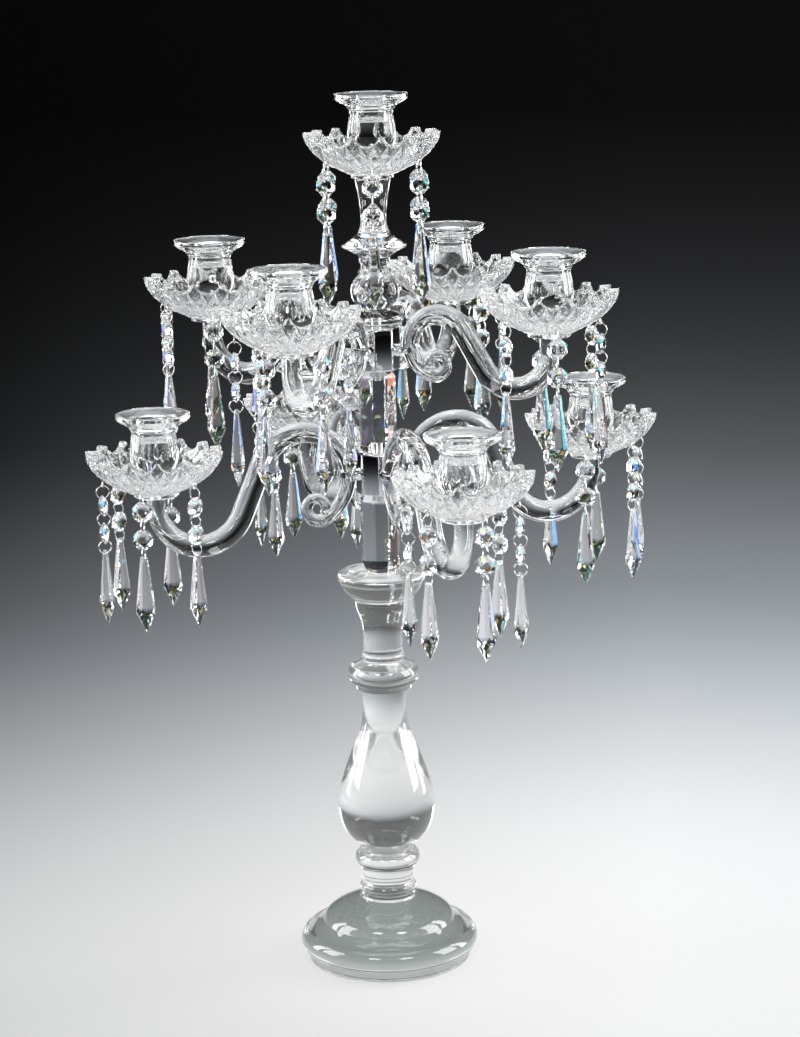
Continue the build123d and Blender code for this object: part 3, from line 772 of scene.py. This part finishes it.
def drilled(mesh, tools):
    """The mesh with round holes bored through it."""
    body = bpy.data.objects.new("blank", mesh)
    bpy.context.scene.collection.objects.link(body)
    cutters = []
    for radius, length, matrix in tools:
        angles = np.arange(20) * 2 * math.pi / 20
        verts = [(radius * math.cos(a), radius * math.sin(a), z)
                 for z in (-length / 2, length / 2) for a in angles]
        faces = ring_faces(2, 20) + [tuple(range(20)), tuple(range(20, 40))]
        cutter = bpy.data.objects.new("drill", mesh_from("drill", verts, faces))
        cutter.matrix_world = matrix
        bpy.context.scene.collection.objects.link(cutter)
        cut = body.modifiers.new("bore", "BOOLEAN")
        cut.object = cutter
        cut.solver = "EXACT"
        cutters.append(cutter)
    bpy.context.view_layer.update()
    result = bpy.data.meshes.new_from_object(body.evaluated_get(bpy.context.evaluated_depsgraph_get()))
    for obj in (body, *cutters):
        bpy.data.objects.remove(obj)
    return result


def bead_stone():
    """Octagonal bead that faces along X: table, star facets and a thin girdle, holed top and bottom."""
    points = []
    for side in (-1, 1):
        for ring_r, offset, turn in ((3.6, 3.5, 0.0), (6.5, 2.2, 22.5), (8.66, 0.55, 0.0)):
            for k in range(8):
                a = math.radians(turn + 22.5 + 45 * k)
                points.append((side * offset, ring_r * math.cos(a), ring_r * math.sin(a)))
    across = Matrix.Rotation(math.radians(90), 4, "Y")
    tools = [(1.2, 12.0, Matrix.Translation(Vector((0, 0, z)) * MM) @ across) for z in (-6.05, 6.05)]
    return drilled(hull("bead", points), tools)


def drop_stone():
    """Spear drop that hangs from its own top at z = 0."""
    def section(z, width, thick, turn=0.0):
        flat = 0.42
        half_w, half_t = width / 2, thick / 2
        corners = [(half_t, -half_w * flat), (half_t, half_w * flat), (half_t * flat, half_w),
                   (-half_t * flat, half_w), (-half_t, half_w * flat), (-half_t, -half_w * flat),
                   (-half_t * flat, -half_w), (half_t * flat, -half_w)]
        if turn:
            corners = [((a[0] + b[0]) / 2, (a[1] + b[1]) / 2)
                       for a, b in zip(corners, corners[1:] + corners[:1])]
            corners = [(x * turn, y * turn) for x, y in corners]
        return [(x, y, z) for x, y in corners]
    points = (section(0, 4.6, 2.6) + section(-0.9, 5.7, 3.5) + section(-6.5, 6.6, 4.6)
              + section(-43.4, 15.2, 10.9)
              + section(-47.6, 14.6, 10.4, 1.03) + section(-62.0, 0.5, 0.4))
    across = Matrix.Rotation(math.radians(90), 4, "Y")
    hole = Matrix.Translation(Vector((0, 0, -2.8)) * MM) @ across
    return drilled(hull("drop", points), [(0.95, 12.0, hole)])


def merged(name, parts):
    """One mesh from (mesh, matrix, material) parts, each part with its own material."""
    bm = bmesh.new()
    result = bpy.data.meshes.new(name)
    order = []
    for mesh, matrix, material in parts:
        if material not in order:
            order.append(material)
        first = len(bm.faces)
        copy = mesh.copy()
        copy.transform(matrix)
        bm.from_mesh(copy)
        bm.faces.ensure_lookup_table()
        for face in bm.faces[first:]:
            face.material_index = order.index(material)
            face.smooth = material == "silver"
        bpy.data.meshes.remove(copy)
    bm.to_mesh(result)
    bm.free()
    for material in order:
        result.materials.append(MATERIALS[material])
    return result


def chain_meshes():
    """Mesh of a whole chain hung along +X, and of the loop that it hangs from."""
    link = mesh_from("link", *torus(LINK_R, WIRE_R))
    bead, drop = bead_stone(), drop_stone()
    parts = []
    link_z = HOOK_Z + 1.2 - LINK_R

    def put(mesh, z, material, radius=CHAIN_R):
        parts.append((mesh, Matrix.Translation(Vector((radius, 0, z)) * MM), material))

    for _ in range(2):
        bead_z = link_z - LINK_R - 6.05
        put(link, link_z, "silver")
        put(bead, bead_z, "pendant")
        link_z = bead_z - 6.05 - LINK_R
    put(link, link_z, "silver")
    put(drop, link_z - LINK_R + 2.8, "pendant")
    chain = merged("chain", parts)

    loop_z = HOOK_Z + 2.2
    loop = mesh_from("loop", *torus(2.2, WIRE_R))
    shank_top = TIPS - 7.2
    angles = np.arange(12) * 2 * math.pi / 12
    outline = [(WIRE_R, loop_z + 1.9), (WIRE_R, shank_top), (1.6, shank_top), (1.7, shank_top + 0.4),
               (1.2, shank_top + 0.8)]
    verts = [(r * math.cos(a), r * math.sin(a), z) for r, z in outline for a in angles]
    faces = ring_faces(len(outline), 12) + [tuple(range(12)), tuple(range(len(verts) - 12, len(verts)))]
    shank = mesh_from("shank", verts, faces)
    shift = Matrix.Translation(Vector((CHAIN_R, 0, 0)) * MM)
    stand = (shift @ Matrix.Translation(Vector((0, 0, loop_z)) * MM)
             @ Matrix.Rotation(math.radians(90), 4, "Z"))
    hanger = merged("hanger", [(loop, stand, "silver"), (shank, shift, "silver")])
    return chain, hanger


def build_chains():
    chain, hanger = chain_meshes()
    for name in LIGHTS:
        centre = light_centre(name)
        if name == "top":
            for k in range(6):
                place = Matrix.Translation(centre) @ Matrix.Rotation(math.radians(60 * k - 5), 4, "Z")
                turn = Matrix.Rotation(math.radians(CHAIN_TWISTS[k]), 4, "Z")
                line = Matrix.Translation((CHAIN_R * MM, 0, 0))
                body = f"pendant_top_{k + 1}"
                hung = place @ line @ turn @ line.inverted()
                add(f"chain_top_{k + 1}", chain, None, body, [body], hung)
                nodes = ["hanger_pins_top"] if k == 0 else []
                add(f"hanger_top_{k + 1}", hanger, None, "bowl_top", nodes, place)
            continue
        outward = math.degrees(math.atan2(centre.y, centre.x))
        for k, angle in enumerate((0, 60, 120, -60, -120)):
            place = Matrix.Translation(centre) @ Matrix.Rotation(math.radians(outward + angle), 4, "Z")
            nodes = [f"pendants_{name}"] if k == 0 else []
            add(f"chain_{name}_{k + 1}", chain, None, "bowl_" + name, nodes, place)
            add(f"hanger_{name}_{k + 1}", hanger, None, "bowl_" + name, (), place)


build_chains()


# ---- floor, backdrop and lights -------------------------------------------------------

def build_stage():
    """Wide pale floor with painted light: its colour is lightest under the piece and darkens away from it,
    standing in for the fall-off of the lamps' light, and it is painted lighter towards the right and darker
    towards the left.
    """
    count = 96
    radii = [0.0, 0.5, 1.0, 2.0, 4.0, 8.0, 16.0, 60.0]
    verts = [(0, 0, 0)]
    faces = []
    for r in radii[1:]:
        verts += [(r * math.cos(2 * math.pi * k / count), r * math.sin(2 * math.pi * k / count), 0)
                  for k in range(count)]
    faces += [(0, 1 + k, 1 + (k + 1) % count) for k in range(count)]
    for i in range(len(radii) - 2):
        a, b = 1 + i * count, 1 + (i + 1) * count
        faces += [(a + k, b + k, b + (k + 1) % count, a + (k + 1) % count) for k in range(count)]
    floor = bpy.data.objects.new("floor", mesh_from("floor", verts, faces, 1.0))
    bpy.context.scene.collection.objects.link(floor)
    t = Tree("floor with painted light falloff")
    length = t.nodes.new("ShaderNodeVectorMath")
    length.operation = "LENGTH"
    t.put(length.inputs[0], t.coords)
    ramp = t.nodes.new("ShaderNodeValToRGB")
    t.put(ramp.inputs[0], t.ramp(length.outputs["Value"], 0.0, 10.0, 0.0, 1.0))
    # painted light: these grey stops put the pool of light under the piece, and its fall-off into the dark,
    # into the floor's colour; a faint cool tint rides on the mid-tones
    stops = ((0.01, 0.52, 0.0), (0.02, 0.49, 0.0), (0.037, 0.45, 0.1), (0.057, 0.39, 0.3),
             (0.08, 0.32, 0.6), (0.098, 0.27, 0.8), (0.116, 0.225, 1.0), (0.137, 0.19, 1.0),
             (0.16, 0.18, 1.0), (0.234, 0.13, 0.9), (0.33, 0.11, 0.6), (0.44, 0.09, 0.4),
             (0.63, 0.055, 0.2), (1.0, 0.02, 0.0))
    while len(ramp.color_ramp.elements) < len(stops):
        ramp.color_ramp.elements.new(0.5)
    for element, (position, grey, cool) in zip(ramp.color_ramp.elements, stops):
        element.position = position
        element.color = (grey * (1 - 0.07 * cool), grey, grey * (1 + 0.07 * cool), 1)
    # painted light: seen along the camera's heading, the floor's colour is scaled lighter towards the right
    # and darker towards the left, more strongly further back
    heading = t.add("ShaderNodeMapping", Vector=t.coords, Rotation=(0, 0, math.radians(-VIEW_AZIMUTH)))
    split = t.add("ShaderNodeSeparateXYZ", Vector=heading.outputs["Vector"])
    from_camera = t.math("MAXIMUM", t.math("ADD", split.outputs["Y"], 2.3), 0.6)
    across = t.math("DIVIDE", split.outputs["X"], from_camera)
    depth = t.ramp(split.outputs["Y"], 0.0, 2.4, 0.15, 1.0)
    painted_side_light = t.math("MULTIPLY", depth, t.ramp(across, -0.16, 0.1, -0.85, 1.0))
    tone = t.nodes.new("ShaderNodeVectorMath")
    tone.operation = "SCALE"
    t.put(tone.inputs[0], ramp.outputs["Color"])
    t.put(tone.inputs["Scale"], t.math("ADD", painted_side_light, 1.0))
    grain = t.noise(900.0, 2.0)
    t.set(Base_Color=tone.outputs["Vector"], Roughness=0.85, Specular_IOR_Level=0.1,
          Normal=t.bump(grain, 0.05, 0.0002))
    floor.data.materials.append(t.mat)


def build_world():
    """Dark studio whose ceiling is a little lighter than its far wall."""
    world = bpy.data.worlds.new("studio")
    world.use_nodes = True
    nodes, links = world.node_tree.nodes, world.node_tree.links
    split = nodes.new("ShaderNodeSeparateXYZ")
    links.new(nodes.new("ShaderNodeTexCoord").outputs["Generated"], split.inputs[0])
    ramp = nodes.new("ShaderNodeValToRGB")
    links.new(split.outputs["Z"], ramp.inputs[0])
    stops = ((0.0, 0.01), (0.22, 0.02), (0.5, 0.055), (1.0, 0.08))
    while len(ramp.color_ramp.elements) < len(stops):
        ramp.color_ramp.elements.new(0.5)
    for element, (position, grey) in zip(ramp.color_ramp.elements, stops):
        element.position = position
        element.color = (grey, grey, grey * 1.06, 1)
    links.new(ramp.outputs["Color"], nodes["Background"].inputs["Color"])
    bpy.context.scene.world = world


def softbox(name, place, aim, width, height, power, shape="RECTANGLE"):
    """Soft light placed as seen from the camera: right, away and up, in metres."""
    data = bpy.data.lights.new(name, "AREA")
    data.shape = shape
    data.size = width
    data.size_y = height
    data.energy = power
    light = bpy.data.objects.new(name, data)
    turn = Matrix.Rotation(math.radians(VIEW_AZIMUTH), 4, "Z")
    where = turn @ Vector(place)
    away = (where - turn @ Vector(aim)).normalized()
    light.matrix_world = Matrix.Translation(where) @ away.to_track_quat("Z", "Y").to_matrix().to_4x4()
    light.visible_camera = False
    bpy.context.scene.collection.objects.link(light)


build_stage()
build_world()
softbox("side right", (1.65, -0.2, 0.95), (0, 0, 0.35), 0.8, 1.3, 30)
softbox("side left", (-1.65, -0.15, 0.95), (0, 0, 0.35), 0.7, 1.2, 24)
softbox("front right", (0.85, -1.85, 1.9), (0, 0, 0.1), 0.75, 0.75, 17, "ELLIPSE")
softbox("front left", (-0.8, -1.85, 1.9), (0, 0, 0.1), 0.7, 0.7, 14, "ELLIPSE")
softbox("strip left", (-1.65, 0.55, 0.8), (0, 0, 0.45), 0.4, 1.5, 17)
softbox("strip right", (1.65, 0.55, 0.8), (0, 0, 0.45), 0.4, 1.5, 17)
softbox("overhead", (0.0, 0.2, 2.1), (0, 0, 0), 1.4, 1.4, 20)

scene = bpy.context.scene
scene.view_settings.view_transform = "Standard"
scene.cycles.caustics_reflective = False
scene.cycles.caustics_refractive = False
scene.cycles.max_bounces = 32
scene.cycles.transmission_bounces = 32
scene.cycles.glossy_bounces = 10
scene.cycles.sample_clamp_indirect = 6.0
